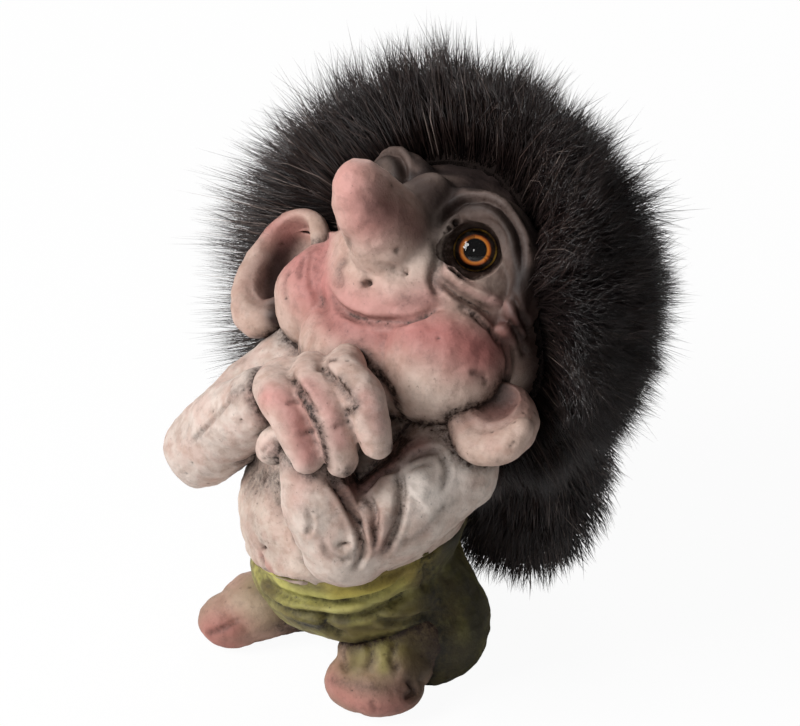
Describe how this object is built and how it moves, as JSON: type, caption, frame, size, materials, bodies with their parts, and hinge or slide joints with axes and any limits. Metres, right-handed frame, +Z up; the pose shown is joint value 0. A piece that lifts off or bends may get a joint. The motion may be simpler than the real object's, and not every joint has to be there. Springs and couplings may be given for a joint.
{
  "type": "troll figure",
  "caption": "Hand-painted cast troll figure with long-pile fur hair and glass eyes, gazing upwards with hands folded under its chin",
  "frame": {"origin": "on the floor under the middle of the whole figure's box, hair included", "axes": "+Z up, -Y the way the figure's chest and feet face, +X the figure's own left side"},
  "size_m": [0.1008, 0.1066, 0.1337],
  "materials": {
    "painted_skin": "matte",
    "painted_trousers": "matte",
    "painted_feet": "matte",
    "clear_glass": "gloss",
    "amber_enamel": "gloss",
    "black_glass": "gloss",
    "wire": "satin",
    "knitted_backing": "matte",
    "long_pile": "matte"
  },
  "bodies": {
    "root": {"head_casting": "painted_skin", "left_ear": "painted_skin", "right_ear": "painted_skin", "torso_casting": "painted_skin", "trousers_casting": "painted_trousers", "left_foot": "painted_feet", "right_foot": "painted_feet", "left_arm": "painted_skin", "right_arm": "painted_skin", "left_hand": "painted_skin", "right_hand": "painted_skin", "pour_hole_plug": "painted_skin", "wig_cap": "knitted_backing", "crown_fur": "long_pile", "left_fur": "long_pile", "right_fur": "long_pile", "back_fur": "long_pile", "nape_fur": "long_pile", "left_eye_glass": "clear_glass", "left_eye_iris": "amber_enamel", "left_eye_pupil": "black_glass", "left_eye_back": "black_glass", "left_eye_wire": "wire", "right_eye_glass": "clear_glass", "right_eye_iris": "amber_enamel", "right_eye_pupil": "black_glass", "right_eye_back": "black_glass", "right_eye_wire": "wire"}
  },
  "joints": []
}
